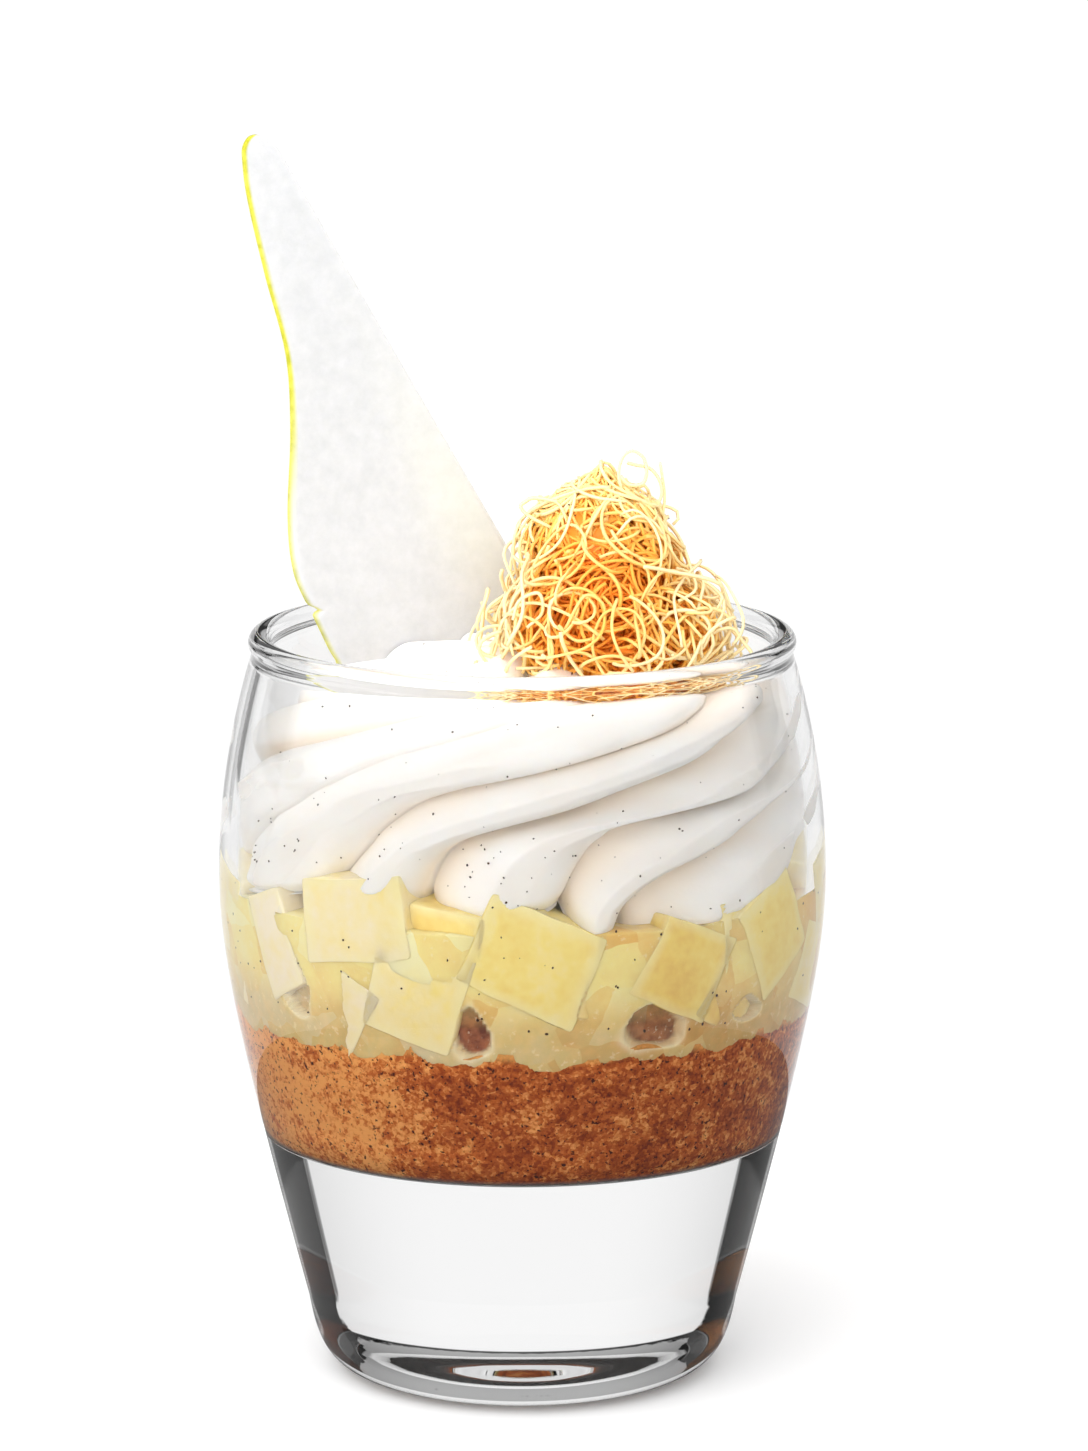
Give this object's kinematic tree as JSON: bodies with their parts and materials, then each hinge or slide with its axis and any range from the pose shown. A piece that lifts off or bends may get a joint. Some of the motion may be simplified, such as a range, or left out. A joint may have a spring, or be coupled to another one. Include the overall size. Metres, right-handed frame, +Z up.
{
  "type": "layered pear dessert in a glass",
  "caption": "Short heavy-based glass filled with spiced biscuit crumb, diced pear and a piped cream swirl, topped with a pear slice and a nest of crisp pastry threads.",
  "frame": {"origin": "centre of the glass's foot on the surface that it stands on; the pear slice that leans out on the left stays inside the belly's width", "axes": "+Z up, -Y towards the viewer of the shown side, +X to the viewer's right"},
  "size_m": [0.0798, 0.0798, 0.1631],
  "materials": {
    "glass": "clear polished",
    "biscuit": "coarse baked crumb",
    "pear": "wet translucent fruit",
    "cream": "smooth whipped cream",
    "slice": "thin translucent fruit",
    "pastry": "crisp baked threads"
  },
  "bodies": {
    "root": {"glass": "glass", "biscuit_crumb": "biscuit", "diced_pear": "pear", "vanilla_cream": "cream", "pear_slice": "slice", "pastry_nest": "pastry"}
  },
  "joints": []
}
